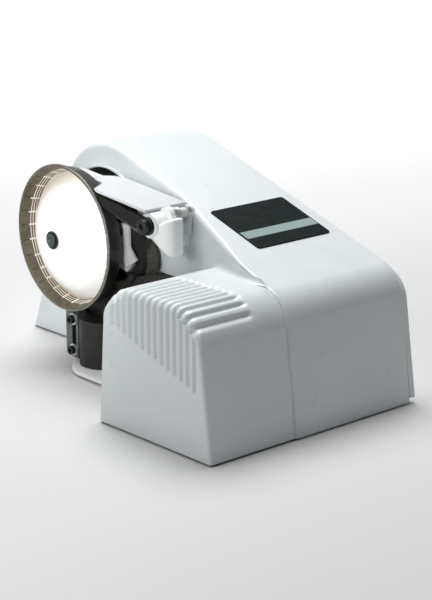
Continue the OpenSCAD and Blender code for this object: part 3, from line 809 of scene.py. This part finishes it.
def make_ladder():
    """Pale raised bars on the bronze wall: rings, and short rungs at slightly uneven turns."""
    bm = bmesh.new()
    for depth in RING_DEPTHS:
        add_grid(bm, [[wall_point(depth + side * RING_HALF, side_angle(i), lift)
                       for i in range(ROUND_SIDES)] for side, lift in RING_SECTION], closed=True)
    for i in range(SEGMENTS):
        t = 2 * math.pi * (i + 0.12 * math.sin(5 * i)) / SEGMENTS
        end = 12.2 + 1.4 * math.sin(7 * i)
        add_grid(bm, [[wall_point(depth, t + side * RUNG_HALF_ANGLE, lift)
                       for side, lift in RUNG_SECTION] for depth in span(RUNG_START, end, 4)])
    ladder = plastic("ladder_enamel", (0.93, 0.87, 0.77), 0.5, 0.1)
    to_object("wheel_ladder", bm, ladder, "spindle", False)


make_dome()
make_dish()
NODES["rim_segments"].data.materials[0] = bronze_material()
make_ladder()


# ---- name plate ----

# Along the plate's depth the stripe lies between two shares; at its ends it keeps a margin.
STRIPE_FROM, STRIPE_TO, STRIPE_MARGIN, STRIPE_FUZZ = 0.235, 0.40, 0.0011, 0.0004


def plate_material():
    """Dark print with one pale stripe across its lower third; no lettering."""
    g = Graph("name_plate_print")
    x, y = g.axis("X"), g.axis("Y")
    low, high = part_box("name_plate")
    depth = high.y - low.y
    ends = ((y, low.y + STRIPE_FROM * depth, 1), (y, low.y + STRIPE_TO * depth, -1),
            (x, low.x + STRIPE_MARGIN, 1), (x, high.x - STRIPE_MARGIN, -1))
    band = 1.0
    for along, at, inward in ends:
        fuzz = inward * STRIPE_FUZZ
        band = g.math("MULTIPLY", band, g.spread(along, at - fuzz, at + fuzz))
    tone = g.mix(g.spread(g.noise(50, 4), 0.3, 0.7), (0.002, 0.006, 0.0055), (0.004, 0.011, 0.010))
    scuff = g.spread(g.noise(300, 4, 0.7), 0.66, 0.78, 0, 0.07)
    tone = g.mix(g.math("MULTIPLY", band, 0.92), tone, (0.31, 0.39, 0.38))
    g.set(Base_Color=g.mix(scuff, tone, (0.10, 0.12, 0.115)), Specular_IOR_Level=0.08,
          Roughness=g.spread(g.noise(90, 4), 0.3, 0.7, 0.5, 0.62))
    return g.bump(band, 0.15, 0.0002).mat


NODES["name_plate"].data.materials[0] = plate_material()


# ---- floor, light and camera, in metres ----

# The floor's far end is turned to face the camera.
FLOOR_TURN = -41.6


def plain(name, color, rough):
    """A matt surface with a trace of unevenness."""
    g = Graph(name)
    g.set(Base_Color=g.mix(g.noise(3, 2), shade(color, 0.985), color), Roughness=rough)
    return g.mat


def floor():
    """A large pale floor that curves up far behind the machine."""
    bm = bmesh.new()
    section = [(y, 0.0) for y in span(-4, 4, 8)]
    section += [(4 + 3 * math.sin(t), 3 * (1 - math.cos(t))) for t in span(0, math.pi / 2, 16)[1:]]
    section.append((7, 9))
    add_grid(bm, [[(x, y, z) for x in (-8, -3, 3, 8)] for y, z in section])
    for f in bm.faces:
        f.smooth = True
    me = bpy.data.meshes.new("floor")
    bm.to_mesh(me)
    bm.free()
    o = bpy.data.objects.new("floor", me)
    o.data.materials.append(plain("pale_floor", (0.63, 0.63, 0.63), 0.8))
    o.rotation_euler = (0, 0, math.radians(FLOOR_TURN))
    bpy.context.scene.collection.objects.link(o)
    return o


def soft_light(name, place, target, size, power, spread=math.pi):
    """A rectangular lamp at place, aimed at target, that the camera doesn't see."""
    data = bpy.data.lights.new(name, "AREA")
    data.shape = "RECTANGLE"
    data.size, data.size_y = size
    data.energy = power
    data.spread = spread
    o = bpy.data.objects.new(name, data)
    o.location = place
    o.rotation_euler = (Vector(target) - Vector(place)).to_track_quat("-Z", "Y").to_euler()
    o.visible_camera = False
    bpy.context.scene.collection.objects.link(o)
    return o


floor()
soft_light("key_above", (0.35, 0.55, 2.3), (0, 0, 0.1), (1.7, 1.7), 72)
soft_light("side_left", (-0.9, 0.1, 0.6), (-0.03, 0.0, 0.12), (0.55, 0.55), 2.8)
soft_light("gridded_front_left", (-0.75, -0.30, 0.42), (-0.05, 0.080, 0.147),
                    (0.15, 0.15), 0.105, spread=math.radians(20))
soft_light("backdrop", (1.6, 1.8, 2.4), (3.2, 3.6, 0.2), (3.0, 1.5), 170)

world = bpy.data.worlds.new("studio")
bpy.context.scene.world = world
world.use_nodes = True
world.node_tree.nodes["Background"].inputs["Color"].default_value = (0.93, 0.97, 1.0, 1)
world.node_tree.nodes["Background"].inputs["Strength"].default_value = 0.10

camera = bpy.data.objects.new("camera", bpy.data.cameras.new("camera"))
camera.data.lens = 111.26
camera.data.sensor_width = 36
camera.location = (-1.1686, -1.3998, 0.6114)
camera.rotation_euler = (math.radians(73.793), 0, math.radians(-41.64))
camera.data.clip_start = 0.05
bpy.context.scene.collection.objects.link(camera)
bpy.context.scene.camera = camera
bpy.context.scene.view_settings.view_transform = "Standard"
